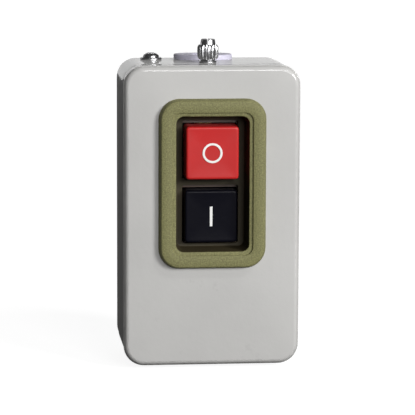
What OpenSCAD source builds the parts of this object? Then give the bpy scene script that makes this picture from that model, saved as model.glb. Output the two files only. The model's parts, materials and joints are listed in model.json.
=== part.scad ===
// Push-button motor starter in a drawn steel enclosure, standing as it is held on a wall.
// X runs across, Y runs into the wall and Z runs up; the back face lies on Y = 0.

/* [Enclosure] */
// Width across the enclosure
body_w = 70; // [70:1:78]
// Height of the enclosure
body_h = 120; // [120:1:130]
// Depth of the base box, from the wall to the seam
base_d = 38; // [38:0.5:44]
// Depth of the cover in front of the seam
cover_d = 12; // [11:0.5:14]
// Radius of the four upright corners seen from the front
corner_r = 8; // [8:0.5:12]
// Radius rolled round the front edge of the cover
edge_r = 2; // [2:0.5:4]
// Thickness of the sheet metal
sheet = 1.2; // [1:0.1:1.4]

/* [Bezel] */
// How far the bezel ring stands out of the cover
ring_proud = 3; // [2:0.2:4]
// Width of the flat ring face, outside to outside
ring_w = 41.4; // [40:0.2:46]
// Height of the flat ring face, outside to outside
ring_h = 66.6; // [64:0.2:70]
// Height of the bezel centre above the middle of the cover
bezel_z = 13.2; // [12.6:0.1:13.6]

/* [Buttons] */
// Side of each square button
button_s = 21.4; // [20:0.2:21.4]
// Travel of a button from out to pressed
travel = 4.5; // [3.5:0.25:4.5]
// Distance between the two button centres
pitch = 26; // [25:0.5:26]

/* [Clamp screw] */
// Diameter of the knurled barrel of the clamp screw
barrel_d = 8.5; // [8:0.5:12]
// Height of the knurled barrel
barrel_h = 5.2; // [4:0.2:8]
// Number of grooves round the barrel
knurls = 18; // [14:2:24]

/* [Cable entries] */
// Width of each grommet flange
grommet_w = 24; // [20:0.5:26]
// Diameter of the cable hole in each grommet
cable_d = 9; // [6:0.5:10]

/* [Hidden] */
$fn = 48;
half_w = body_w / 2;
half_h = body_h / 2;
seam_y = -base_d;
face_y = seam_y - cover_d;
gap = 0.8;
lip_in = 1.5;
lip_y = seam_y - 4;
skirt_y = seam_y - gap;
back_r = 3;
mech_z = 12.5;
mech_y = 38 - base_d;
hinge_z = -half_h;
screw_y = seam_y + 6.8;
shank_r = 2;
wash_h = 0.8;
foot_h = 1.6;
head_h = 2.8;
nut_h = 3.5;
tongue_z = half_h - lip_in - sheet - 2.3;
nut_z = tongue_z - 0.3;
earth_x = -21.5;
earth_y = -14;
entry_y = -11.5;
entry_d = 14;
ring_y = face_y - ring_proud;
ledge_y = ring_y + 0.8;
floor_y = seam_y - 4;
floor_t = 1.5;
win_side = 0.6;
win_top = 1.6;
cap_front = face_y - 0.5;
cap_rear = seam_y - 0.5;
cap_t = 1.5;
on_y = travel;
red_z = mech_z + pitch / 2;
black_z = mech_z - pitch / 2;
arm = pitch / 2;
swing = asin(travel / 2 / arm);
pin_y = mech_y - 33;
pin_r = 1.5;
phase = 18;
post_x = 26.5;
slab_h = 68;
frame_h = 54;
slab_y = mech_y - 12;
tip_y = slab_y - 2.2;
bridge_y = tip_y - 1.05;
roof_y = bridge_y - 7.2;
hook_x = 20;

// Box between two opposite corners
module block(x0, x1, y0, y1, z0, z1) {
    translate([x0, y0, z0])
        cube([x1 - x0, y1 - y0, z1 - z0]);
}

// Round bar along the depth, from y0 back to y1
module bar_y(r, y0, y1) {
    translate([0, y0, 0])
        rotate([-90, 0, 0])
            cylinder(r = r, h = y1 - y0);
}

// Round bar across the width, from x0 to x1
module bar_x(r, x0, x1) {
    translate([x0, 0, 0])
        rotate([0, 90, 0])
            cylinder(r = r, h = x1 - x0);
}

// Rounded rectangle seen from the front, w by h, from y0 back to y1, with the front edge rolled
module tablet(w, h, r, y0, y1, front_r, rear_r) {
    hull()
        for (sx = [-1, 1], sz = [-1, 1])
            translate([sx * (w / 2 - r), y0, sz * (h / 2 - r)])
                rotate([-90, 0, 0])
                    corner_post(r, y1 - y0, front_r, rear_r);
}

// One upright corner, rolled at its two ends
module corner_post(r, len, front_r, rear_r) {
    rotate_extrude($fn = 32) {
        translate([0, front_r])
            square([r, len - front_r - rear_r]);
        if (front_r > 0)
            translate([r - front_r, front_r])
                circle(r = front_r, $fn = 32);
        square([r - front_r, len]);
        if (rear_r > 0)
            translate([r - rear_r, len - rear_r])
                circle(r = rear_r, $fn = 32);
    }
}

// Straight rounded rectangle made of true cylinders
module plain_tablet(w, h, r, y0, y1) {
    block(-w / 2 + r, w / 2 - r, y0, y1, -h / 2, h / 2);
    block(-w / 2, w / 2, y0, y1, -h / 2 + r, h / 2 - r);
    for (sx = [-1, 1], sz = [-1, 1])
        translate([sx * (w / 2 - r), 0, sz * (h / 2 - r)])
            bar_y(r, y0, y1);
}

// Slot of width d and total length w across the top, cut or drawn along the height
module obround_z(w, d, z0, z1) {
    block(-w / 2 + d / 2, w / 2 - d / 2, -d / 2, d / 2, z0, z1);
    for (sx = [-1, 1])
        translate([sx * (w / 2 - d / 2), 0, z0])
            cylinder(d = d, h = z1 - z0);
}

// Slotted domed screw head with its shank pointing down
module dome_screw(head_r, dome_h, shank, len, slot_w) {
    difference() {
        rotate_extrude()
            difference() {
                translate([0, -head_r * 0.55])
                    circle(r = head_r * 1.14);
                translate([-2 * head_r, -4 * head_r])
                    square([2 * head_r, 8 * head_r]);
                translate([0, -4 * head_r])
                    square([4 * head_r, 4 * head_r]);
                translate([0, dome_h])
                    square([4 * head_r, 4 * head_r]);
            }
        translate([-2 * head_r, -slot_w / 2, dome_h - 1])
            cube([4 * head_r, slot_w, 4]);
    }
    translate([0, 0, -len])
        cylinder(r = shank, h = len + 0.2);
}

// Flat slotted screw head in front of y = 0, its shank running back
module pan_screw(head_r, tall, shank, len) {
    difference() {
        bar_y(head_r, -tall, 0);
        block(-2 * head_r, 2 * head_r, -tall - 1, -tall + 1, -0.5, 0.5);
    }
    bar_y(shank, -0.2, len);
}

module base_box() {
    color("gainsboro")
        difference() {
            union() {
                tablet(body_w, body_h, corner_r, seam_y, 0, 0, back_r);
                tablet(body_w - 2 * lip_in, body_h - 2 * lip_in, corner_r - lip_in,
                    lip_y, seam_y + 1, 0, 0);
            }
            base_cavity();
            base_holes();
        }
    color("gainsboro") {
        clamp_bracket();
        base_collars();
    }
}

module base_cavity() {
    tablet(body_w - 2 * sheet, body_h - 2 * sheet, corner_r - sheet,
        seam_y + sheet, -sheet, 0, back_r - sheet);
    in = 2 * (lip_in + sheet);
    tablet(body_w - in, body_h - in, corner_r - in / 2, lip_y - 1, seam_y + 4, 0, 0);
}

module base_holes() {
    for (sx = [-1, 1], sz = [-1, 1])
        translate([sx * 22, 0, 2 + sz * 50])
            bar_y(2.6, -6, 1);
    translate([0, screw_y, 0])
        cylinder(r = 2.8, h = half_h + 1);
    translate([earth_x, earth_y, 0])
        cylinder(r = 2.1, h = half_h + 1);
    for (z = [-half_h - 1, half_h - sheet - 1])
        translate([0, entry_y, z])
            obround_z(grommet_w - 3, entry_d - 3, 0, sheet + 2);
    for (sx = [-1, 1])
        block(sx * hook_x - 3.6, sx * hook_x + 3.6, lip_y - 1, seam_y - 0.3,
            hinge_z, hinge_z + lip_in + sheet + 1);
}

// Bracket under the top wall that carries the clamp nut
module clamp_bracket() {
    floor_z = nut_z - nut_h - sheet;
    difference() {
        block(-10.4, 10.4, screw_y - 6, screw_y + 6, floor_z, half_h - sheet + 0.2);
        block(-9.2, 9.2, screw_y - 7, screw_y + 7, floor_z + sheet, half_h);
        translate([0, screw_y, floor_z - 1])
            cylinder(r = 2.6, h = sheet + 2);
    }
}

// Collars that hold the switch off the back wall
module base_collars() {
    for (s = [-1, 1])
        translate([s * 9, 0, mech_z + s * 31])
            difference() {
                bar_y(4, mech_y - 4, -sheet + 0.2);
                bar_y(1.7, mech_y - 5, -sheet);
            }
}

module cover() {
    color("gainsboro") {
        difference() {
            union() {
                tablet(body_w, body_h, corner_r, face_y, skirt_y, edge_r, 0);
                tablet(body_w + 0.6, body_h + 0.6, corner_r + 0.3,
                    face_y + edge_r - 0.2, face_y + edge_r + 0.6, 0, 0);
            }
            tablet(body_w - 2 * sheet, body_h - 2 * sheet, corner_r - sheet,
                face_y + sheet, skirt_y + 2, edge_r - sheet, 0);
            translate([0, 0, bezel_z])
                plain_tablet(34, 59, 4, face_y - 1, face_y + sheet + 1);
        }
        cover_tongue();
        for (sx = [-1, 1])
            translate([sx * hook_x, 0, 0])
                cover_hook();
    }
}

// Forked tongue at the top of the cover, clamped round the screw
module cover_tongue() {
    difference() {
        union() {
            block(-8, 8, seam_y - 8, seam_y + 12, tongue_z, tongue_z + sheet);
            block(-8, 8, seam_y - 8, seam_y - 6.8, tongue_z, half_h - sheet + 0.3);
        }
        translate([0, screw_y, tongue_z - 1])
            cylinder(r = 2.6, h = sheet + 2);
        block(-2.6, 2.6, screw_y, seam_y + 13, tongue_z - 1, tongue_z + sheet + 1);
    }
}

// Hook at the foot of the cover that reaches in through the lip of the base
module cover_hook() {
    block(-3, 3, seam_y - 2.4, seam_y - 1.2, hinge_z + sheet - 0.3, hinge_z + 4.2);
    block(-3, 3, seam_y - 2.4, seam_y + 3, hinge_z + 3, hinge_z + 4.2);
}

// Frame-shaped outline that narrows towards the back
module drafted(w0, h0, r0, y0, w1, h1, r1, y1) {
    hull() {
        tablet_slice(w0, h0, r0, y0);
        tablet_slice(w1, h1, r1, y1 - 0.02);
    }
}

module tablet_slice(w, h, r, y) {
    for (sx = [-1, 1], sz = [-1, 1])
        translate([sx * (w / 2 - r), y, sz * (h / 2 - r)])
            rotate([-90, 0, 0])
                cylinder(r = r, h = 0.02, $fn = 32);
}

module bezel() {
    color("darkolivegreen")
        translate([0, 0, bezel_z])
            difference() {
                union() {
                    drafted(ring_w, ring_h, 7.5, ring_y, ring_w + 2.6, ring_h + 2.4, 8.8, face_y);
                    drafted(33.4, 58.4, 3.7, face_y - 0.5, 32.6, 57.6, 3.6, floor_y + floor_t);
                }
                plain_tablet(32.2, 57, 3.4, ring_y - 1, ledge_y);
                drafted(29.2, 54.2, 3, ledge_y - 0.02, 28, 53, 2.6, floor_y);
                button_window(red_z - bezel_z);
                button_window(black_z - bezel_z);
            }
}

module button_window(z) {
    half = button_s / 2;
    block(-half - win_side, half + win_side, floor_y - 1, floor_y + floor_t + 1,
        z - half - win_side, z + half + win_top);
}

// Spring clips that hold the bezel behind the cover
module bezel_clips() {
    color("silver")
        for (sx = [-1, 1], z = [-16, 16])
            translate([0, 0, bezel_z + z])
                mirror([sx < 0 ? 1 : 0, 0, 0]) {
                    block(16.9, 20.6, face_y + sheet, face_y + sheet + 0.6, -4, 4);
                    block(16.9, 17.5, face_y + sheet, face_y + 7, -4, 4);
                }
}

// Hollow square cap with its face at y, and a stem down its middle
module button_cap(y) {
    half = button_s / 2;
    inner = half - cap_t;
    len = cap_rear - cap_front;
    difference() {
        hull() {
            block(-half + 0.9, half - 0.9, y, y + 1, -half + 0.9, half - 0.9);
            block(-half, half, y + 0.9, y + len, -half, half);
        }
        block(-inner, inner, y + cap_t, y + len + 1, -inner, inner);
    }
    block(-3, 3, y + 1, y + len + 1.5, -2, 2);
}

module off_button() {
    color("firebrick")
        difference() {
            translate([0, 0, red_z])
                button_cap(cap_front);
            translate([0, 0, red_z])
                ring_mark(cap_front, 0.3);
        }
}

module on_button() {
    color("black")
        difference() {
            translate([0, 0, black_z])
                button_cap(cap_front + on_y);
            translate([0, 0, black_z])
                bar_mark(cap_front + on_y, 0.3);
        }
}

module ring_mark(y, deep) {
    difference() {
        bar_y(4, y - deep, y + deep);
        bar_y(3.1, y - 1, y + 1);
    }
}

module bar_mark(y, deep) {
    block(-0.55, 0.55, y - deep, y + deep, -4, 4);
}

// Paint-filled marks, flush with the button faces
module off_symbol() {
    color("white")
        translate([0, 0, red_z])
            intersection() {
                ring_mark(cap_front, 0.3);
                block(-6, 6, cap_front, cap_front + 1, -6, 6);
            }
}

module on_symbol() {
    color("white")
        translate([0, 0, black_z])
            block(-0.55, 0.55, cap_front + on_y, cap_front + on_y + 0.3, -4, 4);
}

module clamp_screw() {
    color("silver")
        translate([0, screw_y, half_h + wash_h]) {
            cylinder(r = 3, h = foot_h);
            translate([0, 0, foot_h - wash_h])
                clamp_barrel();
            translate([0, 0, foot_h - wash_h + barrel_h])
                difference() {
                    cylinder(r1 = 3.1, r2 = 2.8, h = head_h);
                    translate([-0.45, -4, head_h - 1.1])
                        cube([0.9, 8, 2]);
                }
            translate([0, 0, nut_z - nut_h - sheet - 1 - half_h - wash_h])
                cylinder(r = shank_r, h = half_h + wash_h + sheet + 1.5 - nut_z + nut_h);
        }
}

// Knurled barrel, chamfered at both ends
module clamp_barrel() {
    edge = 0.5;
    r = barrel_d / 2;
    difference() {
        rotate_extrude()
            polygon([[0, 0], [r - edge, 0], [r, edge], [r, barrel_h - edge],
                [r - edge, barrel_h], [0, barrel_h]]);
        for (i = [0 : knurls - 1])
            rotate([0, 0, 360 * i / knurls])
                translate([r + 0.12, 0, -1])
                    cylinder(r = 0.45, h = barrel_h + 2, $fn = 12);
    }
}

module clamp_screw_washer() {
    color("silver")
        translate([0, screw_y, half_h])
            difference() {
                cylinder(r = 3.5, h = wash_h);
                translate([0, 0, -1])
                    cylinder(r = shank_r + 0.3, h = wash_h + 2);
            }
}

module clamp_nut() {
    color("silver")
        difference() {
            block(-4.5, 4.5, screw_y - 4.5, screw_y + 4.5, nut_z - nut_h, nut_z);
            translate([0, screw_y, nut_z - nut_h - 1])
                cylinder(r = shank_r + 0.35, h = nut_h + 2);
        }
}

module earth_screw() {
    color("silver")
        translate([earth_x, earth_y, half_h + 0.9])
            dome_screw(3.3, 2.5, 1.9, 9, 0.9);
}

module earth_washer() {
    color("silver")
        translate([earth_x, earth_y, half_h])
            difference() {
                cylinder(r = 4.4, h = 0.9);
                translate([0, 0, -1])
                    cylinder(r = 2, h = 3);
            }
}

module earth_nut() {
    color("silver")
        translate([earth_x, earth_y, half_h - sheet - 3])
            difference() {
                cylinder(r = 4, h = 3, $fn = 6);
                translate([0, 0, -1])
                    cylinder(r = 2, h = 5);
            }
}

// Moulded bush, its flange outside the wall and its collar inside
module grommet() {
    difference() {
        union() {
            obround_z(grommet_w, entry_d, 0, 2);
            obround_z(grommet_w - 3.4, entry_d - 3.4, -sheet - 2, 0.5);
        }
        translate([0, 0, -sheet - 3])
            cylinder(d = cable_d, h = sheet + 6);
    }
}

module top_grommet() {
    color("thistle")
        translate([0, entry_y, half_h])
            grommet();
}

module bottom_grommet() {
    color("thistle")
        translate([0, entry_y, -half_h])
            mirror([0, 0, 1])
                grommet();
}

module insulating_sheet() {
    color("tan")
        difference() {
            block(-31, 31, -sheet - 0.5, -sheet, mech_z - 40, mech_z + 37);
            for (s = [-1, 1])
                translate([s * 9, 0, mech_z + s * 31])
                    bar_y(4.4, -sheet - 2, 0);
            for (sx = [-1, 1])
                translate([sx * 22, 0, -48])
                    bar_y(6, -sheet - 2, 0);
        }
}

module switch_base() {
    color("saddlebrown")
        translate([0, 0, mech_z])
            difference() {
                block(-30, 30, slab_y, mech_y - 4, -slab_h / 2, slab_h / 2);
                for (s = [-1, 1])
                    translate([s * 9, 0, s * 31])
                        bar_y(2.2, slab_y - 1, 0);
                for (sx = [-1, 1], sz = [-1, 1])
                    translate([sx * post_x, 0, sz * 24.5])
                        bar_y(1.1, slab_y - 1, mech_y - 6);
                for (i = [-1 : 1], s = [-1, 1])
                    translate([i * phase, 0, s * 30.5])
                        bar_y(1.8, slab_y - 1, mech_y - 6);
            }
}

module switch_frame() {
    front = seam_y - 1.3;
    color("saddlebrown")
        translate([0, 0, mech_z])
            difference() {
                block(-29, 29, front, slab_y, -frame_h / 2, frame_h / 2);
                difference() {
                    block(-27.5, 27.5, front + 3, slab_y + 1, -25.5, 25.5);
                    for (sx = [-1, 1], sz = [-1, 1])
                        translate([sx * post_x, 0, sz * 24.5])
                            bar_y(3, front, slab_y + 2);
                }
                for (s = [-1, 1])
                    block(-11.1, 11.1, front - 1, front + 4, s * arm - 11.1, s * arm + 11.1);
                for (sx = [-1, 1], sz = [-1, 1])
                    translate([sx * post_x, 0, sz * 24.5])
                        bar_y(1.3, front - 1, slab_y + 1);
                for (i = [-1 : 1], s = [-1, 1])
                    block(i * phase - 3.9, i * phase + 3.9, slab_y - 1.7, slab_y + 1,
                        s * 27 - 2, s * 27 + 2);
                translate([0, pin_y, 0])
                    bar_x(pin_r, -28.2, 28.2);
            }
}

module frame_screws() {
    front = seam_y - 1.3;
    color("silver")
        for (sx = [-1, 1], sz = [-1, 1])
            translate([sx * post_x, front, mech_z + sz * 24.5])
                pan_screw(2.3, 1.6, 1.1, slab_y - front + 6);
}

module mechanism_screws() {
    color("silver")
        for (s = [-1, 1])
            translate([s * 9, slab_y, mech_z + s * 31])
                pan_screw(3.2, 2.2, 1.7, -sheet - slab_y);
}

module pivot_pin() {
    color("silver")
        translate([0, pin_y, mech_z])
            bar_x(pin_r, -28.2, 28.2);
}

// Two-armed lever between the buttons, lying as it does with the lower button in
module rocker() {
    color("ivory")
        translate([0, pin_y, mech_z])
            rotate([swing, 0, 0])
                difference() {
                    union() {
                        bar_x(2.3, -5, 5);
                        block(-5, 5, -1.1, 1.1, -arm - 2.5, arm + 2.5);
                    }
                    bar_x(pin_r + 0.05, -6, 6);
                }
}

// Carriage behind the lower button that holds the three contact bridges
module contact_carrier() {
    leg_z = black_z;
    color("ivory") {
        block(-25, 25, roof_y - 2.55, roof_y, mech_z - 8.5, mech_z + 8.5);
        for (sx = [-1, 1])
            mirror([sx < 0 ? 1 : 0, 0, 0]) {
                block(6, 8.6, roof_y - 2.55, roof_y, leg_z - 4.5, mech_z - 8);
                block(6, 8.6, cap_front + on_y + cap_t, roof_y - 2, leg_z - 4.5, leg_z);
            }
        for (i = [-1 : 1])
            translate([i * phase, 0, mech_z])
                carrier_cage();
    }
}

// Cage under the carrier roof, round one bridge
module carrier_cage() {
    for (sx = [-1, 1])
        mirror([sx < 0 ? 1 : 0, 0, 0])
            block(4.2, 5.6, roof_y - 0.2, tip_y + 1.5, -4.5, 4.5);
    block(-5.6, 5.6, tip_y + 0.3, tip_y + 1.5, -4.5, 4.5);
}

module bridge(x) {
    color("peru")
        block(x - 3.5, x + 3.5, bridge_y - 1.2, bridge_y, mech_z - 12.5, mech_z + 12.5);
}

module bridge_1() {
    bridge(-phase);
}

module bridge_2() {
    bridge(0);
}

module bridge_3() {
    bridge(phase);
}

module moving_tips() {
    color("silver")
        for (i = [-1 : 1], s = [-1, 1])
            translate([i * phase, 0, mech_z + s * 10])
                bar_y(2, bridge_y, tip_y - 0.1);
}

module fixed_tips() {
    color("silver")
        for (i = [-1 : 1], s = [-1, 1])
            translate([i * phase, 0, mech_z + s * 10])
                bar_y(2, tip_y, tip_y + 1);
}

// One half turn of a coil, leaning by a quarter of the spring's pitch at each end
module half_turn(coil, wire, rise, first) {
    lean = atan(rise / (2 * coil));
    rotate([0, 0, first ? 0 : 180])
        rotate([0, -lean, 0])
            rotate_extrude(angle = 180)
                translate([coil / cos(lean), 0])
                    circle(r = wire, $fn = 24);
}

// Coil between a bridge and the carrier roof
module contact_spring(x) {
    turns = 8;
    rise = 0.65;
    color("silver")
        translate([x, bridge_y - 1.95, mech_z])
            rotate([90, 0, 0])
                for (i = [0 : turns - 1])
                    translate([0, 0, rise * i])
                        half_turn(2.5, 0.35, rise, i % 2 == 0);
}

module contact_spring_1() {
    contact_spring(-phase);
}

module contact_spring_2() {
    contact_spring(0);
}

module contact_spring_3() {
    contact_spring(phase);
}

// Strap from a fixed contact out to its terminal, towards z when side is 1
module terminal(x, side) {
    color("peru")
        translate([x, 0, mech_z])
            mirror([0, 0, side < 0 ? 1 : 0])
                difference() {
                    block(-3.5, 3.5, slab_y - 1.2, slab_y, 7.5, 33.5);
                    translate([0, 0, 30.5])
                        bar_y(1.8, slab_y - 2, slab_y + 1);
                }
}

module line_terminal_1() {
    terminal(-phase, 1);
}

module line_terminal_2() {
    terminal(0, 1);
}

module line_terminal_3() {
    terminal(phase, 1);
}

module load_terminal_1() {
    terminal(-phase, -1);
}

module load_terminal_2() {
    terminal(0, -1);
}

module load_terminal_3() {
    terminal(phase, -1);
}

module terminal_screws() {
    color("silver")
        for (i = [-1 : 1], s = [-1, 1])
            translate([i * phase, slab_y - 2.2, mech_z + s * 30.5])
                pan_screw(3, 2, 1.5, 7);
}

module terminal_washers() {
    color("silver")
        for (i = [-1 : 1], s = [-1, 1])
            translate([i * phase, 0, mech_z + s * 30.5])
                difference() {
                    block(-3.2, 3.2, slab_y - 2.2, slab_y - 1.2, -3, 3);
                    bar_y(1.8, slab_y - 3, slab_y);
                }
}

base_box();
cover();
bezel();
bezel_clips();
off_button();
on_button();
off_symbol();
on_symbol();
clamp_screw();
clamp_screw_washer();
clamp_nut();
earth_screw();
earth_washer();
earth_nut();
top_grommet();
bottom_grommet();
insulating_sheet();
switch_base();
switch_frame();
frame_screws();
mechanism_screws();
pivot_pin();
rocker();
contact_carrier();
bridge_1();
bridge_2();
bridge_3();
moving_tips();
fixed_tips();
contact_spring_1();
contact_spring_2();
contact_spring_3();
line_terminal_1();
line_terminal_2();
line_terminal_3();
load_terminal_1();
load_terminal_2();
load_terminal_3();
terminal_screws();
terminal_washers();
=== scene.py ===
import json
import math

import bmesh
import bpy
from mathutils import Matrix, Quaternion, Vector


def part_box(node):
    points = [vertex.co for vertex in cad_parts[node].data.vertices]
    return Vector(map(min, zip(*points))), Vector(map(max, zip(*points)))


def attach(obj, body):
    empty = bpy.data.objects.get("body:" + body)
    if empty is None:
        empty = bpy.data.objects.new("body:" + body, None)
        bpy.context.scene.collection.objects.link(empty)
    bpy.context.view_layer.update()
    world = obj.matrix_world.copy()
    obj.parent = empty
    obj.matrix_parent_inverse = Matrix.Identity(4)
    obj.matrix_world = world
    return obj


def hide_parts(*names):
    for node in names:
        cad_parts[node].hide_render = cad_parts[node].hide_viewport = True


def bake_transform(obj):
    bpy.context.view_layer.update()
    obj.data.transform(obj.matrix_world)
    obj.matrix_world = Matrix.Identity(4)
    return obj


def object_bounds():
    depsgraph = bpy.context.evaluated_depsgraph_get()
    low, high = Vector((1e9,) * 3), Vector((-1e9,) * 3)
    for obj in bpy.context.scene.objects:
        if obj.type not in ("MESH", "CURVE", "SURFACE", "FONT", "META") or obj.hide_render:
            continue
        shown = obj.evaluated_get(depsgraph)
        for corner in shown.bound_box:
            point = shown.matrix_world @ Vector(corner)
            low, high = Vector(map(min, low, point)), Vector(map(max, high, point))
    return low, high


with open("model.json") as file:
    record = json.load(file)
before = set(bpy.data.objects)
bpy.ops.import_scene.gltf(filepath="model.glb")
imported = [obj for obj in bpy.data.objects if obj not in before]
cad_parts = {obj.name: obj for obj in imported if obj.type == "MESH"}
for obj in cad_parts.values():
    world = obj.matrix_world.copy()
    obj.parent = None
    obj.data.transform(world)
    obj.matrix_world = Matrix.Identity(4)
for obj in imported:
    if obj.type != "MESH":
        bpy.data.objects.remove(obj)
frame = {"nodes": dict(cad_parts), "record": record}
cad_low, cad_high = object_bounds()
MM = 0.001


# ---------------------------------------------------------------- shader helpers


class Nodes:
    """A material's node tree, with short calls to add nodes and link them."""

    def __init__(self, name):
        self.mat = bpy.data.materials.new(name)
        self.mat.use_nodes = True
        self.tree = self.mat.node_tree
        self.bsdf = self.tree.nodes["Principled BSDF"]
        self.coord = self.tree.nodes.new("ShaderNodeTexCoord")

    def add(self, kind, **inputs):
        node = self.tree.nodes.new(kind)
        for key, value in inputs.items():
            self.put(node, key, value)
        return node

    def put(self, node, key, value):
        socket = node.inputs[int(key[1:])] if key[1:].isdigit() else node.inputs[key]
        if isinstance(value, bpy.types.NodeSocket):
            self.tree.links.new(value, socket)
        else:
            socket.default_value = value

    def noise(self, scale, detail=3.0, rough=0.5):
        node = self.add("ShaderNodeTexNoise", Scale=scale, Detail=detail, Roughness=rough)
        self.put(node, "Vector", self.coord.outputs["Object"])
        return node.outputs["Fac"]

    def cells(self, scale):
        node = self.add("ShaderNodeTexVoronoi", Scale=scale)
        self.put(node, "Vector", self.coord.outputs["Object"])
        return node.outputs["Distance"]

    def ramp(self, fac, stops):
        node = self.tree.nodes.new("ShaderNodeValToRGB")
        node.color_ramp.elements[0].position = stops[0][0]
        node.color_ramp.elements[0].color = (*stops[0][1], 1)
        node.color_ramp.elements[1].position = stops[-1][0]
        node.color_ramp.elements[1].color = (*stops[-1][1], 1)
        for place, colour in stops[1:-1]:
            node.color_ramp.elements.new(place).color = (*colour, 1)
        self.put(node, "Fac", fac)
        return node.outputs["Color"]

    def span(self, fac, low, high, start=0.0, stop=1.0):
        node = self.add("ShaderNodeMapRange")
        self.put(node, "Value", fac)
        for key, value in (("From Min", start), ("From Max", stop), ("To Min", low), ("To Max", high)):
            self.put(node, key, value)
        return node.outputs["Result"]

    def bump(self, height, strength, distance, below=None):
        node = self.add("ShaderNodeBump", Strength=strength, Distance=distance)
        self.put(node, "Height", height)
        if below is not None:
            self.put(node, "Normal", below)
        return node.outputs["Normal"]

    def axis(self, letter):
        node = self.add("ShaderNodeSeparateXYZ")
        self.put(node, "Vector", self.coord.outputs["Object"])
        return node.outputs[letter]

    def math(self, operation, a, b=0.0):
        node = self.tree.nodes.new("ShaderNodeMath")
        node.operation = operation
        self.put(node, "#0", a)
        self.put(node, "#1", b)
        return node.outputs[0]

    def mix(self, fac, a, b):
        node = self.tree.nodes.new("ShaderNodeMixRGB")
        self.put(node, "Fac", fac)
        for key, value in (("Color1", a), ("Color2", b)):
            self.put(node, key, value if isinstance(value, bpy.types.NodeSocket) else (*value, 1))
        return node.outputs["Color"]

    def finish(self, colour, rough, metal=0.0, normal=None, coat=0.0, specular=0.5):
        tint = colour if isinstance(colour, bpy.types.NodeSocket) else (*colour, 1)
        self.put(self.bsdf, "Base Color", tint)
        self.put(self.bsdf, "Roughness", rough)
        self.put(self.bsdf, "Metallic", metal)
        self.put(self.bsdf, "Coat Weight", coat)
        self.put(self.bsdf, "Coat Roughness", 0.07)
        self.put(self.bsdf, "Specular IOR Level", specular)
        if normal is not None:
            self.put(self.bsdf, "Normal", normal)
        return self.mat


def enamel(name, tint, rough, wear):
    """Baked enamel: faint orange peel, dust-like mottling and a few scuffs."""
    n = Nodes(name)
    cloud = n.noise(24.0, 4.0)
    fine = n.noise(900.0, 2.0)
    peel = n.noise(420.0, 2.0)
    dark = tuple(c * 0.93 for c in tint)
    colour = n.mix(n.span(cloud, 0.0, 1.0, 0.35, 0.65), tint, dark)
    scuff = n.span(n.noise(75.0, 6.0, 0.7), 0.0, wear, 0.62, 0.72)
    colour = n.mix(scuff, colour, tuple(c * 0.72 for c in tint))
    normal = n.bump(peel, 0.12, 0.0004)
    normal = n.bump(cloud, 0.2, 0.0006, normal)
    return n.finish(colour, n.span(fine, rough - 0.05, rough + 0.07), 0.0, normal, 0.55, 0.3)


# Depths over which painted shade darkens the bezel paint inside its recess, and the half sizes and centre of
# that recess, in metres.
SHADE_FROM, SHADE_TO = -0.0519, -0.0512
RECESS_HALF_W, RECESS_HALF_H, RECESS_Z = 0.0168, 0.0292, 0.0132


def speckled(name, tint):
    """Speckled olive paint over a fine grain, with painted shade darkening the deep walls of the recess."""
    n = Nodes(name)
    dots = n.cells(1500.0)
    grain = n.noise(1700.0, 5.0, 0.75)
    cloud = n.noise(60.0, 3.0)
    dark, light = tuple(c * 0.55 for c in tint), tuple(c * 1.7 for c in tint)
    base = n.ramp(grain, [(0.3, dark), (0.5, tint), (0.72, light)])
    colour = n.mix(n.span(dots, 0.55, 0.0, 0.06, 0.22), base, tuple(c * 0.35 for c in tint))
    colour = n.mix(n.span(cloud, 0.0, 0.18, 0.45, 0.7), colour, tuple(c * 1.2 for c in tint))
    # Painted shade: inside the recess outline the colour darkens towards the back, where shade falls.
    across = n.math("LESS_THAN", n.math("ABSOLUTE", n.axis("X")), RECESS_HALF_W)
    upright = n.math("SUBTRACT", n.axis("Z"), RECESS_Z)
    along = n.math("LESS_THAN", n.math("ABSOLUTE", upright), RECESS_HALF_H)
    inside = n.math("MULTIPLY", across, along)
    recess_shade = n.math("MULTIPLY", n.span(n.axis("Y"), 0.0, 1.0, SHADE_FROM, SHADE_TO), inside)
    colour = n.mix(recess_shade, colour, n.mix(cloud, (0.042, 0.033, 0.013), (0.024, 0.018, 0.008)))
    normal = n.bump(grain, 0.35, 0.0003)
    return n.finish(colour, n.span(grain, 0.5, 0.75), 0.0, normal, 0.0, 0.3)


def plastic(name, tint, rough, grain_scale=700.0, specular=0.5):
    """Moulded plastic: a fine grain, handling marks and uneven gloss."""
    n = Nodes(name)
    cloud = n.noise(90.0, 4.0)
    grain = n.noise(grain_scale, 3.0)
    marks = n.span(n.noise(260.0, 6.0, 0.72), 0.0, 0.35, 0.6, 0.74)
    colour = n.mix(n.span(cloud, 0.0, 0.5, 0.35, 0.7), tint, tuple(c * 0.82 for c in tint))
    colour = n.mix(marks, colour, tuple(min(1.0, c * 1.25 + 0.01) for c in tint))
    normal = n.bump(grain, 0.1, 0.0002)
    return n.finish(colour, n.span(cloud, rough - 0.06, rough + 0.08), 0.0, normal, 0.0, specular)


def metal(name, tint, rough, streak=0.15, stretch=(1.0, 1.0, 8.0), tarnish=0.25):
    """Plated or polished metal with tool marks drawn out along one axis and some tarnish."""
    n = Nodes(name)
    mapping = n.add("ShaderNodeMapping", Scale=stretch)
    n.put(mapping, "Vector", n.coord.outputs["Object"])
    lines = n.add("ShaderNodeTexNoise", Scale=900.0, Detail=4.0)
    n.put(lines, "Vector", mapping.outputs["Vector"])
    cloud = n.noise(180.0, 5.0, 0.65)
    dull = n.span(cloud, 0.0, tarnish, 0.45, 0.75)
    colour = n.mix(dull, tint, tuple(c * 0.5 for c in tint))
    normal = n.bump(lines.outputs["Fac"], streak, 0.0001)
    return n.finish(colour, n.span(cloud, rough, rough + 0.16, 0.3, 0.8), 1.0, normal)


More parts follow.
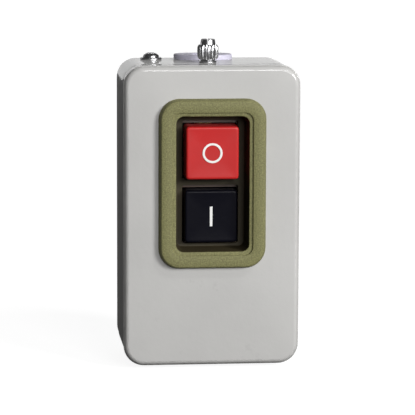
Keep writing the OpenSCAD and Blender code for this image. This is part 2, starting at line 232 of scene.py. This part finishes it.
MATS = {
    "enamel": enamel("enamel", (0.5, 0.495, 0.482), 0.48, 0.5),
    "bezel": speckled("bezel", (0.175, 0.17, 0.072)),
    "red_button": plastic("red_button", (0.5, 0.019, 0.019), 0.34, 700.0, 0.3),
    "black_button": plastic("black_button", (0.0035, 0.0035, 0.007), 0.3, 700.0, 0.1),
    "marks": plastic("marks", (0.82, 0.82, 0.8), 0.55),
    "bright_steel": metal("bright_steel", (0.56, 0.56, 0.57), 0.22, tarnish=0.45),
    "plated_steel": metal("plated_steel", (0.6, 0.59, 0.56), 0.3, 0.3),
    "grommet": plastic("grommet", (0.58, 0.56, 0.67), 0.5),
    "insulation": plastic("insulation", (0.34, 0.22, 0.1), 0.7, 400.0),
    "moulding": plastic("moulding", (0.075, 0.04, 0.024), 0.38),
    "carrier": plastic("carrier", (0.62, 0.57, 0.45), 0.5),
    "contact_brass": metal("contact_brass", (0.72, 0.5, 0.2), 0.28, 0.25, (8.0, 1.0, 1.0)),
    "contact_silver": metal("contact_silver", (0.82, 0.81, 0.78), 0.35, 0.2),
}

# ---------------------------------------------------------------- mesh helpers


def make(name, verts, faces, slot, body, replaces=(), angle=32.0, bevel=0.0, segments=2):
    """A mesh object in metres that rides on a body and takes a record slot."""
    mesh = bpy.data.meshes.new(name)
    mesh.from_pydata(verts, [], faces)
    mesh.validate()
    obj = bpy.data.objects.new(name, mesh)
    bpy.context.scene.collection.objects.link(obj)
    outward(mesh)
    smooth(obj, angle)
    if bevel:
        soften(obj, bevel, segments, angle)
    mesh.materials.append(MATS[slot])
    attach(obj, body)
    if replaces:
        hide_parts(*replaces)
    return obj


def outward(mesh):
    bm = bmesh.new()
    bm.from_mesh(mesh)
    bmesh.ops.recalc_face_normals(bm, faces=bm.faces)
    bm.to_mesh(mesh)
    bm.free()


def smooth(obj, angle):
    obj.data.polygons.foreach_set("use_smooth", [True] * len(obj.data.polygons))
    obj.data.set_sharp_from_angle(angle=math.radians(angle))


def soften(obj, width, segments, angle=30.0):
    mod = obj.modifiers.new("edges", "BEVEL")
    mod.width = width * MM
    mod.segments = segments
    mod.limit_method = "ANGLE"
    mod.angle_limit = math.radians(angle)
    mod.harden_normals = True
    mod.use_clamp_overlap = True


def outline(w, h, r, arc=10, side=6):
    """Rounded rectangle as (x, z) points, always the same number in the same order."""
    points = []
    corners = [(1, 1, 0), (-1, 1, 90), (-1, -1, 180), (1, -1, 270)]
    r = max(r, 0.001)
    for sx, sz, start in corners:
        cx, cz = sx * (w / 2 - r), sz * (h / 2 - r)
        for i in range(arc + 1):
            a = math.radians(start + 90 * i / arc)
            points.append((cx + r * math.cos(a), cz + r * math.sin(a)))
        nx, nz = corners[(corners.index((sx, sz, start)) + 1) % 4][:2]
        ex, ez = nx * (w / 2 - r), nz * (h / 2 - r)
        a = math.radians(start + 90)
        x0, z0 = points[-1]
        x1, z1 = ex + r * math.cos(a), ez + r * math.sin(a)
        for i in range(1, side):
            t = i / side
            points.append((x0 + (x1 - x0) * t, z0 + (z1 - z0) * t))
    return points


def loft(rings, closed=False, cap_start=False, cap_end=False, plane="y"):
    """Skin through rings of (w, h, r, depth, dx, dz), in millimetres; returns metres."""
    verts, faces = [], []
    count = 0
    for w, h, r, depth, dx, dz in rings:
        points = outline(w, h, r)
        count = len(points)
        for x, z in points:
            place = (x + dx, depth, z + dz) if plane == "y" else (x + dx, z + dz, depth)
            verts.append(tuple(c * MM for c in place))
    total = len(rings)
    for i in range(total if closed else total - 1):
        a, b = i * count, ((i + 1) % total) * count
        for j in range(count):
            k = (j + 1) % count
            faces.append((a + j, a + k, b + k, b + j))
    if cap_start:
        faces.append(tuple(range(count)))
    if cap_end:
        faces.append(tuple(range((total - 1) * count, total * count)))
    return verts, faces


def roll(w, h, r, edge, y_face, y_end, dx=0.0, dz=0.0, steps=8):
    """Rings that roll from a flat face at y_face round to the side, by radius edge."""
    rings = []
    sign = 1 if y_end > y_face else -1
    for i in range(steps + 1):
        a = math.radians(90 * i / steps)
        inset = edge * (1 - math.sin(a))
        rings.append((w - 2 * inset, h - 2 * inset, max(r - inset, 0.05),
                      y_face + sign * edge * (1 - math.cos(a)), dx, dz))
    return rings


def spin(profile, centre, count=64, axis="z", wobble=None):
    """Turned shape from (radius, height) pairs about an axis through centre, in millimetres."""
    verts, faces, starts = [], [], []
    for row, (radius, height) in enumerate(profile):
        starts.append(len(verts))
        steps = 1 if radius < 1e-6 else count
        for i in range(steps):
            a = 2 * math.pi * i / count
            rr = radius + (wobble(row, i) if wobble else 0.0)
            u, v = rr * math.cos(a), rr * math.sin(a)
            place = (u, v, height) if axis == "z" else (u, height, v)
            verts.append(tuple((p + c) * MM for p, c in zip(place, centre)))
    for row in range(len(profile) - 1):
        a, b = starts[row], starts[row + 1]
        one, two = profile[row][0] < 1e-6, profile[row + 1][0] < 1e-6
        for i in range(count):
            k = (i + 1) % count
            if one and two:
                continue
            if one:
                faces.append((a, b + k, b + i))
            elif two:
                faces.append((a + i, a + k, b))
            else:
                faces.append((a + i, a + k, b + k, b + i))
    return verts, faces


def cuboid(x0, x1, y0, y1, z0, z1):
    verts = [(x * MM, y * MM, z * MM) for x in (x0, x1) for y in (y0, y1) for z in (z0, z1)]
    faces = [(0, 1, 3, 2), (4, 6, 7, 5), (0, 4, 5, 1), (2, 3, 7, 6), (0, 2, 6, 4), (1, 5, 7, 3)]
    return verts, faces


def carve(obj, cutters):
    """Cuts closed meshes out of obj for good, then forgets them."""
    for verts, faces in cutters:
        mesh = bpy.data.meshes.new("cutter")
        mesh.from_pydata(verts, [], faces)
        outward(mesh)
        tool = bpy.data.objects.new("cutter", mesh)
        bpy.context.scene.collection.objects.link(tool)
        mod = obj.modifiers.new("cut", "BOOLEAN")
        mod.operation = "DIFFERENCE"
        mod.solver = "EXACT"
        mod.object = tool
        bpy.context.view_layer.update()
        graph = bpy.context.evaluated_depsgraph_get()
        fresh = bpy.data.meshes.new_from_object(obj.evaluated_get(graph))
        obj.modifiers.remove(mod)
        obj.data = fresh
        bpy.data.objects.remove(tool)


def box_mm(node):
    low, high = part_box(node)
    return [v / MM for v in low], [v / MM for v in high]


# ---------------------------------------------------------------- sizes read from the CAD nodes

COVER_LOW = box_mm("cover")[0]
BASE_LOW, BASE_HIGH = box_mm("base_box")
W = BASE_HIGH[0] - BASE_LOW[0]
H = BASE_HIGH[2] - BASE_LOW[2]
FACE_Y = COVER_LOW[1]
LIP_Y = BASE_LOW[1]
SEAM_Y = LIP_Y + 4.0
SKIRT_Y = SEAM_Y - 0.8
SHEET = 1.2
CORNER_R = 8.0
EDGE_R = 2.0
LIP_IN = 1.5
SCREW_Y = SEAM_Y + 6.8
BEZEL_LOW, BEZEL_HIGH = box_mm("bezel")
BEZEL_Z = (BEZEL_LOW[2] + BEZEL_HIGH[2]) / 2
RING_Y = BEZEL_LOW[1]
LEDGE_Y = SEAM_Y - 4.0
TONGUE_Z = H / 2 - LIP_IN - SHEET - 2.3
HOOK_X = 20.0
WALL_HOLE_X, WALL_HOLE_Z, WALL_HOLE_R = 22.0, 50.0, 2.6
WALL_HOLES_MID_Z = 2.0
EARTH_X, EARTH_Y = -21.5, -14.0
ENTRY_Y = -11.5
MECH_Z = 12.5

# ---------------------------------------------------------------- enclosure


def build_cover():
    inner = SHEET
    w_in, h_in, r_in = W - 2 * inner, H - 2 * inner, CORNER_R - inner
    rings = [(34.0, 59.0, 4.0, FACE_Y + inner, 0, BEZEL_Z), (34.0, 59.0, 4.0, FACE_Y + 0.3, 0, BEZEL_Z),
             (34.6, 59.6, 4.3, FACE_Y, 0, BEZEL_Z)]
    rings += roll(W, H, CORNER_R, EDGE_R, FACE_Y, SKIRT_Y, steps=12)[:-1]
    bead = FACE_Y + EDGE_R + 0.2
    for i in range(9):
        a = math.radians(180 * i / 8)
        out = 0.3 * math.sin(a)
        rings.append((W + 2 * out, H + 2 * out, CORNER_R + out, bead - 0.4 * math.cos(a), 0, 0))
    rings += [(W, H, CORNER_R, SKIRT_Y - 0.25, 0, 0), (W - 0.4, H - 0.4, CORNER_R - 0.2, SKIRT_Y, 0, 0),
              (w_in + 0.3, h_in + 0.3, r_in + 0.15, SKIRT_Y, 0, 0),
              (w_in, h_in, r_in, SKIRT_Y - 0.2, 0, 0)]
    rings += list(reversed(roll(w_in, h_in, r_in, EDGE_R - inner, FACE_Y + inner, SKIRT_Y, steps=8)))
    verts, faces = loft(rings, closed=True)
    make("cover_shell", verts, faces, "enamel", "cover_unit", ("cover",), 40)
    build_tongue()
    for sx in (-1, 1):
        x = HOOK_X * sx
        z = -H / 2
        profile = [(SEAM_Y - 2.4, z + SHEET - 0.3), (SEAM_Y - 1.2, z + SHEET - 0.3), (SEAM_Y - 1.2, z + 3.0),
                   (SEAM_Y + 2.7, z + 3.0), (SEAM_Y + 3.0, z + 3.3), (SEAM_Y + 3.0, z + 3.9),
                   (SEAM_Y + 2.7, z + 4.2), (SEAM_Y - 1.8, z + 4.2), (SEAM_Y - 2.4, z + 3.6)]
        verts, faces = prism(profile, x - 3, x + 3, "x")
        make("cover_hook_" + ("left" if sx < 0 else "right"), verts, faces, "enamel", "cover_unit",
             bevel=0.15)


def prism(points, low, high, axis):
    """Straight solid from a closed outline, from low to high along x or z, in millimetres."""
    count = len(points)
    verts = []
    for level in (low, high):
        for a, b in points:
            place = (level, a, b) if axis == "x" else (a, b, level)
            verts.append(tuple(c * MM for c in place))
    faces = [tuple(range(count)), tuple(range(2 * count - 1, count - 1, -1))]
    for i in range(count):
        j = (i + 1) % count
        faces.append((i, j, count + j, count + i))
    return verts, faces


def build_tongue():
    z = TONGUE_Z
    slot = 2.6
    turns = [math.radians(a) for a in range(0, 181, 12)]
    arc = [(slot * math.cos(a), SCREW_Y - slot * math.sin(a)) for a in turns]
    back = SEAM_Y + 12
    points = [(-8, SEAM_Y - 7.4), (8, SEAM_Y - 7.4), (8, back - 2), (6.8, back)]
    points += [(slot + 0.8, back), (slot, back - 0.8)]
    points += arc + [(-slot, back - 0.8), (-slot - 0.8, back), (-6.8, back), (-8, back - 2)]
    verts, faces = prism(points, z, z + SHEET, "z")
    make("cover_tongue", verts, faces, "enamel", "cover_unit", bevel=0.15)
    verts, faces = cuboid(-8, 8, SEAM_Y - 8, SEAM_Y - 6.8, z, H / 2 - SHEET + 0.3)
    make("cover_tongue_web", verts, faces, "enamel", "cover_unit", bevel=0.35, segments=3)


def cylinder(r, low, high, centre, axis, count=40):
    return spin([(0, low), (r, low), (r, high), (0, high)], centre, count, axis)


def build_base():
    step_y = -14.0
    w_rear, h_rear = W - 0.5, H - 0.5
    rings = list(roll(w_rear, h_rear, CORNER_R - 0.25, 3.0, 0.0, SEAM_Y, steps=7))
    rings += [(w_rear, h_rear, CORNER_R - 0.25, step_y + 0.15, 0, 0), (W, H, CORNER_R, step_y - 0.25, 0, 0),
              (W, H, CORNER_R, SEAM_Y + 0.9, 0, 0), (W - 0.15, H - 0.15, CORNER_R - 0.1, SEAM_Y + 0.4, 0, 0),
              (W - 0.6, H - 0.6, CORNER_R - 0.3, SEAM_Y + 0.06, 0, 0),
              (W - 1.2, H - 1.2, CORNER_R - 0.6, SEAM_Y, 0, 0)]
    lip_w, lip_h, lip_r = W - 2 * LIP_IN, H - 2 * LIP_IN, CORNER_R - LIP_IN
    rings += [(lip_w, lip_h, lip_r, SEAM_Y - 0.3, 0, 0), (lip_w, lip_h, lip_r, LIP_Y + 0.3, 0, 0),
              (lip_w - 0.4, lip_h - 0.4, lip_r - 0.2, LIP_Y, 0, 0),
              (lip_w - 2.0, lip_h - 2.0, lip_r - 1.0, LIP_Y, 0, 0),
              (lip_w - 2.4, lip_h - 2.4, lip_r - 1.2, LIP_Y + 0.3, 0, 0),
              (lip_w - 2.4, lip_h - 2.4, lip_r - 1.2, SEAM_Y + 0.6, 0, 0),
              (W - 2.4, H - 2.4, CORNER_R - 1.2, SEAM_Y + 1.9, 0, 0)]
    rings += list(reversed(roll(W - 2.9, H - 2.9, CORNER_R - 1.4, 1.8, -SHEET, SEAM_Y + 3, steps=5)))
    verts, faces = loft(rings, cap_start=True, cap_end=True)
    base = make("base_shell", verts, faces, "enamel", "enclosure", ("base_box",), 40)
    cutters = []
    for sx in (-1, 1):
        for sz in (-1, 1):
            hole = (WALL_HOLE_X * sx, 0, WALL_HOLES_MID_Z + WALL_HOLE_Z * sz)
            cutters.append(cylinder(WALL_HOLE_R, -3, 1, hole, "y"))
        x = HOOK_X * sx
        cutters.append(cuboid(x - 3.6, x + 3.6, LIP_Y - 1, SEAM_Y - 0.3, -H / 2, -H / 2 + 4))
    cutters.append(cylinder(2.8, H / 2 - 3, H / 2 + 1, (0, SCREW_Y, 0), "z"))
    cutters.append(cylinder(2.1, H / 2 - 3, H / 2 + 1, (EARTH_X, EARTH_Y, 0), "z"))
    for sz in (-1, 1):
        ends = [(21, 11, 5.5, sz * (H / 2 + past), 0, ENTRY_Y) for past in (-3, 1)]
        cutters.append(loft(ends, cap_start=True, cap_end=True, plane="z"))
    carve(base, cutters)
    smooth(base, 40)
    even = base.modifiers.new("even_shading", "WEIGHTED_NORMAL")
    even.keep_sharp = True
    build_bracket()
    for s in (-1, 1):
        rings = [(1.7, -1.1), (4.6, -1.1), (4.15, -1.5), (4.0, -2.0), (4.0, -3.8), (3.8, -4.0),
                 (1.9, -4.0), (1.7, -3.8), (1.7, -1.1)]
        verts, faces = spin(rings, (9 * s, 0, MECH_Z + 31 * s), 40, "y")
        make("base_collar_" + ("upper" if s > 0 else "lower"), verts, faces, "enamel", "enclosure")


def build_bracket():
    top = H / 2 - SHEET + 0.1
    foot = TONGUE_Z - 0.3 - 3.5 - SHEET
    r = 1.6
    outer, inner = [], []
    for i in range(7):
        a = math.radians(180 + 15 * i)
        outer.append((-10.4 + r + r * math.cos(a), foot + r + r * math.sin(a)))
        inner.append((-9.2 + 0.4 + 0.4 * math.cos(a), foot + SHEET + 0.4 + 0.4 * math.sin(a)))
    left = [(-10.4, top)] + outer
    points = left + [(-x, z) for x, z in reversed(left)]
    hollow = [(-9.2, top)] + inner
    points += [(-x, z) for x, z in hollow] + list(reversed(hollow))
    count = len(points)
    verts = [(x * MM, y * MM, z * MM) for y in (SCREW_Y - 6, SCREW_Y + 6) for x, z in points]
    faces = [tuple(range(count)), tuple(range(2 * count - 1, count - 1, -1))]
    faces += [(i, (i + 1) % count, count + (i + 1) % count, count + i) for i in range(count)]
    bracket = make("clamp_bracket", verts, faces, "enamel", "enclosure")
    carve(bracket, [cylinder(2.6, foot - 1, foot + SHEET + 1, (0, SCREW_Y, 0), "z")])
    smooth(bracket, 30)
    soften(bracket, 0.12, 2)


def build_bezel():
    z = BEZEL_Z
    floor = LEDGE_Y
    rings = [(32.2, 57.2, 3.4, floor + 1.5, 0, z), (32.6, 57.6, 3.6, floor + 1.3, 0, z),
             (33.4, 58.4, 3.7, FACE_Y + 0.3, 0, z), (42.8, 67.8, 8.3, FACE_Y + 0.01, 0, z),
             (43.0, 68.0, 8.3, FACE_Y - 0.15, 0, z), (42.6, 67.65, 8.15, FACE_Y - 0.5, 0, z)]
    rings += [(41.6, 66.8, 7.6, RING_Y + 0.75, 0, z), (41.3, 66.5, 7.5, RING_Y + 0.35, 0, z),
              (40.9, 66.1, 7.3, RING_Y + 0.1, 0, z), (40.3, 65.5, 7.0, RING_Y, 0, z),
              (32.9, 57.7, 3.7, RING_Y, 0, z), (32.4, 57.2, 3.5, RING_Y + 0.1, 0, z),
              (32.2, 57.0, 3.4, RING_Y + 0.3, 0, z), (32.2, 57.0, 3.4, RING_Y + 0.72, 0, z),
              (32.0, 56.8, 3.3, RING_Y + 0.8, 0, z), (30.0, 55.0, 3.3, RING_Y + 0.8, 0, z),
              (29.4, 54.4, 3.1, RING_Y + 0.92, 0, z), (29.2, 54.2, 3.0, RING_Y + 1.25, 0, z),
              (28.1, 53.1, 2.7, floor - 1.2, 0, z), (27.8, 52.8, 2.5, floor - 0.5, 0, z),
              (27.3, 52.3, 2.3, floor - 0.12, 0, z), (26.6, 51.6, 2.0, floor, 0, z)]
    verts, faces = loft(rings, cap_start=True, cap_end=True)
    bezel = make("bezel_ring", verts, faces, "bezel", "cover_unit", ("bezel",), 40)
    cutters = []
    for node in ("off_button", "on_button"):
        low, high = box_mm(node)
        z0, z1 = low[2] - 0.6, high[2] + 1.6
        w = high[0] - low[0] + 1.2
        cutters.append(loft([(w, z1 - z0, 1.0, floor - 2, 0, (z0 + z1) / 2),
                             (w, z1 - z0, 1.0, floor + 3, 0, (z0 + z1) / 2)], cap_start=True, cap_end=True))
    carve(bezel, cutters)
    smooth(bezel, 35)


# ---------------------------------------------------------------- buttons


def build_button(node, slot, body, name):
    low, high = box_mm(node)
    s = high[0] - low[0]
    y, end = low[1], low[1] + 12.0
    z = (low[2] + high[2]) / 2
    r = 1.3
    rings = [(1.0, 1.0, 0.3, y + 0.22, 0, z), (7.0, 7.0, 1.2, y + 0.2, 0, z),
             (13.0, 13.0, 1.6, y + 0.13, 0, z), (17.5, 17.5, 1.5, y + 0.05, 0, z), (19.2, 19.2, 1.3, y, 0, z)]
    for w, h, rr, yy, dx, dz in roll(s - 0.35, s - 0.35, r, 0.85, y, end, 0, z, 6):
        rings.append((w, h, max(rr, 0.7), yy, dx, dz))
    inner = s - 3.0
    rings += [(s, s, r, end - 0.25, 0, z), (s - 0.4, s - 0.4, r - 0.2, end, 0, z),
              (inner + 0.3, inner + 0.3, 0.9, end, 0, z), (inner, inner, 0.8, end - 0.25, 0, z),
              (inner - 0.4, inner - 0.4, 0.8, y + 1.9, 0, z), (inner - 1.2, inner - 1.2, 0.6, y + 1.5, 0, z)]
    verts, faces = loft(rings, cap_start=True, cap_end=True)
    make(name, verts, faces, slot, body, (node,), 38)
    verts, faces = cuboid(-3, 3, y + 1.4, y + 13.4, z - 2, z + 2)
    make(name + "_stem", verts, faces, slot, body, bevel=0.4, segments=3)
    return y, z


def build_marks(off, on):
    y, z = off
    profile = [(3.1, 0.3), (3.1, 0.08), (3.17, 0.0), (3.93, 0.0), (4.0, 0.08), (4.0, 0.3), (3.1, 0.3)]
    verts, faces = spin(profile, (0, y, z), 96, "y")
    make("off_mark", verts, faces, "marks", "off_slider", ("off_symbol",))
    y, z = on
    rings = [(0.95, 7.85, 0.12, y, 0, z), (1.1, 8.0, 0.15, y + 0.08, 0, z), (1.1, 8.0, 0.15, y + 0.3, 0, z)]
    verts, faces = loft(rings, cap_start=True, cap_end=True)
    make("on_mark", verts, faces, "marks", "on_slider", ("on_symbol",))


# ---------------------------------------------------------------- screws and bushes


def build_clamp_screw():
    low, high = box_mm("clamp_screw")
    foot = H / 2 + 0.8
    barrel = foot + 0.6
    top = barrel + 5.9
    head = top + 2.3
    teeth = 18
    shape = (-0.55, -0.45, -0.15, 0.0, 0.0, 0.0, -0.15, -0.45)
    profile = [(0, low[2]), (1.5, low[2]), (2.0, low[2] + 0.5),
               (2.0, foot), (2.75, foot), (3.0, foot + 0.2),
               (3.0, barrel - 0.02), (3.4, barrel), (3.6, barrel + 0.05),
               (4.1, barrel + 0.7), (4.25, barrel + 1.3),
               (4.25, top - 1.3), (4.1, top - 0.7), (3.6, top - 0.05), (3.4, top), (3.1, top + 0.02),
               (3.05, top + 0.3), (2.85, head - 0.5), (2.7, head - 0.15), (2.4, head), (0, head)]
    cut_rows = {9, 10, 11, 12}
    verts, faces = spin(profile, (0, SCREW_Y, 0), teeth * len(shape), "z",
                        lambda row, i: shape[i % len(shape)] if row in cut_rows else 0.0)
    screw = make("clamp_screw_body", verts, faces, "bright_steel", "clamp_knob", ("clamp_screw",), 30)
    carve(screw, [cuboid(-0.45, 0.45, SCREW_Y - 4, SCREW_Y + 4, head - 1.1, head + 1)])
    smooth(screw, 30)
    ring = [(2.3, 0.0), (3.3, 0.0), (3.5, 0.15), (3.5, 0.6),
            (3.3, 0.78), (2.5, 0.78), (2.3, 0.65), (2.3, 0.0)]
    verts, faces = spin([(r, h + H / 2) for r, h in ring], (0, SCREW_Y, 0), 64)
    make("clamp_washer", verts, faces, "bright_steel", "screw_washer", ("clamp_screw_washer",))


def build_earth_screw():
    centre = (EARTH_X, EARTH_Y, 0)
    seat = H / 2 + 0.9
    profile = [(0, seat - 9), (1.5, seat - 9), (1.9, seat - 8.5), (1.9, seat), (3.1, seat), (3.3, seat + 0.2)]
    for i in range(1, 11):
        a = math.radians(9 * i)
        profile.append((3.3 * math.cos(a) if i < 10 else 0.0, seat + 0.2 + 1.85 * math.sin(a)))
    verts, faces = spin(profile, centre, 64)
    screw = make("earth_screw_body", verts, faces, "bright_steel", "enclosure", ("earth_screw",), 35)
    carve(screw, [cuboid(EARTH_X - 4, EARTH_X + 4, EARTH_Y - 0.45, EARTH_Y + 0.45, seat + 1.0, seat + 3)])
    smooth(screw, 35)
    ring = [(2.0, 0.0), (4.2, 0.0), (4.4, 0.15), (4.4, 0.6),
            (4.15, 0.88), (2.2, 0.88), (2.0, 0.75), (2.0, 0.0)]
    verts, faces = spin([(r, h + H / 2) for r, h in ring], centre, 72)
    make("earth_screw_washer", verts, faces, "bright_steel", "enclosure", ("earth_washer",))


def build_grommet(node, sign, name):
    z0 = sign * H / 2
    rings = [(24, 14, 7, 0.0), (24.0, 14.0, 7, 1.5), (23.85, 13.85, 6.9, 1.8), (23.5, 13.5, 6.75, 1.95),
             (21.6, 11.6, 5.8, 2.0), (12.4, 11.0, 5.5, 2.0), (10.0, 10.0, 5.0, 1.85), (9.3, 9.3, 4.65, 1.45),
             (9.0, 9.0, 4.5, 0.9), (9.0, 9.0, 4.5, -2.7), (9.6, 9.6, 4.8, -3.15), (20.0, 10.2, 5.1, -3.2),
             (20.6, 10.6, 5.3, -2.9), (20.6, 10.6, 5.3, 0.0)]
    placed = [(w, h, r, z0 + sign * d, 0, ENTRY_Y) for w, h, r, d in rings]
    verts, faces = loft(placed, closed=True, plane="z")
    make(name, verts, faces, "grommet", "enclosure", (node,), 45)


# ---------------------------------------------------------------- springs


def build_spring(index):
    node = f"contact_spring_{index}"
    low, high = box_mm(node)
    cx, cz = (low[0] + high[0]) / 2, MECH_Z
    y0, y1 = high[1] - 0.36, low[1] + 0.36
    turns, per_turn, sides = 5.5, 28, 10
    wire, coil = 0.35, 2.5
    path = []
    total = int(turns * per_turn)
    for i in range(total + 1):
        t = i / total
        eased = min(1.0, max(0.0, (t * turns - 0.75) / (turns - 1.5)))
        flat = wire * 2.05 / abs(y1 - y0)
        base = flat * min(t * turns, 1.0) * 0.75 + (1 - 1.5 * flat) * eased
        base += flat * max(0.0, t * turns - turns + 1.0) * 0.75
        a = 2 * math.pi * turns * t
        path.append((coil * math.cos(a), y0 + (y1 - y0) * min(base, 1.0), coil * math.sin(a), a))
    verts, faces = [], []
    for x, y, z, a in path:
        for k in range(sides):
            b = 2 * math.pi * k / sides
            out, along = wire * math.cos(b), wire * math.sin(b)
            place = (cx + x + out * math.cos(a), y + along, cz + z + out * math.sin(a))
            verts.append(tuple(c * MM for c in place))
    for i in range(total):
        for k in range(sides):
            m = (k + 1) % sides
            faces.append((i * sides + k, i * sides + m, (i + 1) * sides + m, (i + 1) * sides + k))
    faces += [tuple(range(sides)), tuple(range(total * sides, total * sides + sides))]
    mesh = bpy.data.meshes.new(f"spring_{index}")
    mesh.from_pydata(verts, [], faces)
    outward(mesh)
    obj = bpy.data.objects.new(f"spring_{index}", mesh)
    bpy.context.scene.collection.objects.link(obj)
    smooth(obj, 60)
    mesh.materials.append(MATS["plated_steel"])
    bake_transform(obj)
    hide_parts(node)


# ---------------------------------------------------------------- CAD nodes that stay

CARRIED = {
    "bezel_clips": 0.12, "clamp_nut": 0.25, "earth_nut": 0.2, "insulating_sheet": 0.05, "switch_base": 0.4,
    "switch_frame": 0.35, "frame_screws": 0.12, "mechanism_screws": 0.15, "pivot_pin": 0.2, "rocker": 0.25,
    "contact_carrier": 0.25, "bridge_1": 0.2, "bridge_2": 0.2, "bridge_3": 0.2, "moving_tips": 0.15,
    "fixed_tips": 0.15, "line_terminal_1": 0.15, "line_terminal_2": 0.15, "line_terminal_3": 0.15,
    "load_terminal_1": 0.15, "load_terminal_2": 0.15, "load_terminal_3": 0.15, "terminal_screws": 0.15,
    "terminal_washers": 0.12,
}


def dress_carried():
    slots = {p["node"]: p["material_slot"] for p in frame["record"]["subparts"]}
    for name, width in CARRIED.items():
        obj = frame["nodes"][name]
        obj.data.materials.clear()
        obj.data.materials.append(MATS[slots[name]])
        smooth(obj, 25)
        soften(obj, width, 2, 30)


# ---------------------------------------------------------------- stage


def area_light(name, place, aim, size, watts, colour=(1, 1, 1)):
    data = bpy.data.lights.new(name, "AREA")
    data.shape = "RECTANGLE"
    data.size, data.size_y = size
    data.energy = watts
    data.color = colour
    lamp = bpy.data.objects.new(name, data)
    lamp.location = place
    lamp.rotation_euler = (Vector(aim) - Vector(place)).to_track_quat("-Z", "Y").to_euler()
    bpy.context.scene.collection.objects.link(lamp)
    return lamp


def build_stage():
    floor_z = cad_low[2] - 0.0001
    size = 9.0
    mesh = bpy.data.meshes.new("floor")
    corners = [(-size, -size, floor_z), (size, -size, floor_z), (size, size, floor_z), (-size, size, floor_z)]
    mesh.from_pydata(corners, [], [(0, 1, 2, 3)])
    floor = bpy.data.objects.new("floor", mesh)
    bpy.context.scene.collection.objects.link(floor)
    n = Nodes("floor_paper")
    grain = n.noise(30.0, 2.0)
    mat = n.finish(n.mix(grain, (0.3, 0.3, 0.3), (0.33, 0.33, 0.33)), 0.9, 0.0, None, 0.0, 0.1)
    n.put(n.bsdf, "Emission Color", (1.0, 1.0, 1.0, 1.0))
    n.put(n.bsdf, "Emission Strength", 0.9)
    mesh.materials.append(mat)
    floor.visible_diffuse = False
    floor.visible_glossy = False
    world = bpy.data.worlds.new("studio")
    bpy.context.scene.world = world
    world.use_nodes = True
    back = world.node_tree.nodes["Background"]
    back.inputs["Color"].default_value = (1.0, 1.0, 1.0, 1.0)
    back.inputs["Strength"].default_value = 0.05
    target = (0, -0.03, 0)
    area_light("key", (0.85, -1.0, 0.4), target, (0.4, 0.4), 14.6)
    area_light("front", (0.3, -1.5, 0.4), target, (0.5, 0.5), 10.4)
    area_light("glint", (0.5, -0.5, 0.75), target, (0.12, 0.12), 1.6)
    area_light("top_edge", (0.05, 0.75, 0.93), target, (0.7, 0.05), 0.5)
    area_light("left_edge", (-0.8, 0.5, 0.15), target, (0.05, 0.7), 0.35)
    build_backdrop()
    bpy.context.scene.view_settings.view_transform = "Standard"


def build_backdrop():
    """White wall far behind, which the glossy enamel mirrors at its grazing top face."""
    mesh = bpy.data.meshes.new("backdrop")
    far, wide, tall = 2.6, 1.3, 1.7
    corners = [(-wide, far, -0.1), (wide, far, -0.1), (wide, far, tall), (-wide, far, tall)]
    mesh.from_pydata(corners, [], [(0, 1, 2, 3)])
    wall = bpy.data.objects.new("backdrop", mesh)
    bpy.context.scene.collection.objects.link(wall)
    n = Nodes("backdrop_paper")
    mat = n.finish(n.mix(n.noise(3.0, 2.0), (0.86, 0.86, 0.86), (0.9, 0.9, 0.9)), 0.9, 0.0, None, 0.0, 0.1)
    n.put(n.bsdf, "Emission Color", (1.0, 1.0, 1.0, 1.0))
    n.put(n.bsdf, "Emission Strength", 0.9)
    mesh.materials.append(mat)


def build_camera():
    yaw, pitch, roll_deg = 6.23, 8.32, 0.24
    reach = 0.955
    aim = Vector((0, FACE_Y * MM, 0))
    y, p = math.radians(yaw), math.radians(pitch)
    away = Vector((-math.sin(y) * math.cos(p), -math.cos(y) * math.cos(p), math.sin(p)))
    data = bpy.data.cameras.new("camera")
    data.sensor_width = 36.0
    data.lens = 208.0
    data.shift_x = -0.0113
    data.shift_y = 0.0222
    data.clip_start, data.clip_end = 0.05, 50.0
    cam = bpy.data.objects.new("camera", data)
    cam.location = aim + away * reach
    turn = (-away).to_track_quat("-Z", "Y")
    turn.rotate(Quaternion(away, math.radians(roll_deg)))
    cam.rotation_euler = turn.to_euler()
    bpy.context.scene.collection.objects.link(cam)
    bpy.context.scene.camera = cam


build_camera()
build_stage()
build_cover()
build_base()
build_bezel()
off_face = build_button("off_button", "red_button", "off_slider", "off_cap")
on_face = build_button("on_button", "black_button", "on_slider", "on_cap")
build_marks(off_face, on_face)
build_clamp_screw()
build_earth_screw()
build_grommet("top_grommet", 1, "top_bush")
build_grommet("bottom_grommet", -1, "bottom_bush")
for number in (1, 2, 3):
    build_spring(number)
dress_carried()
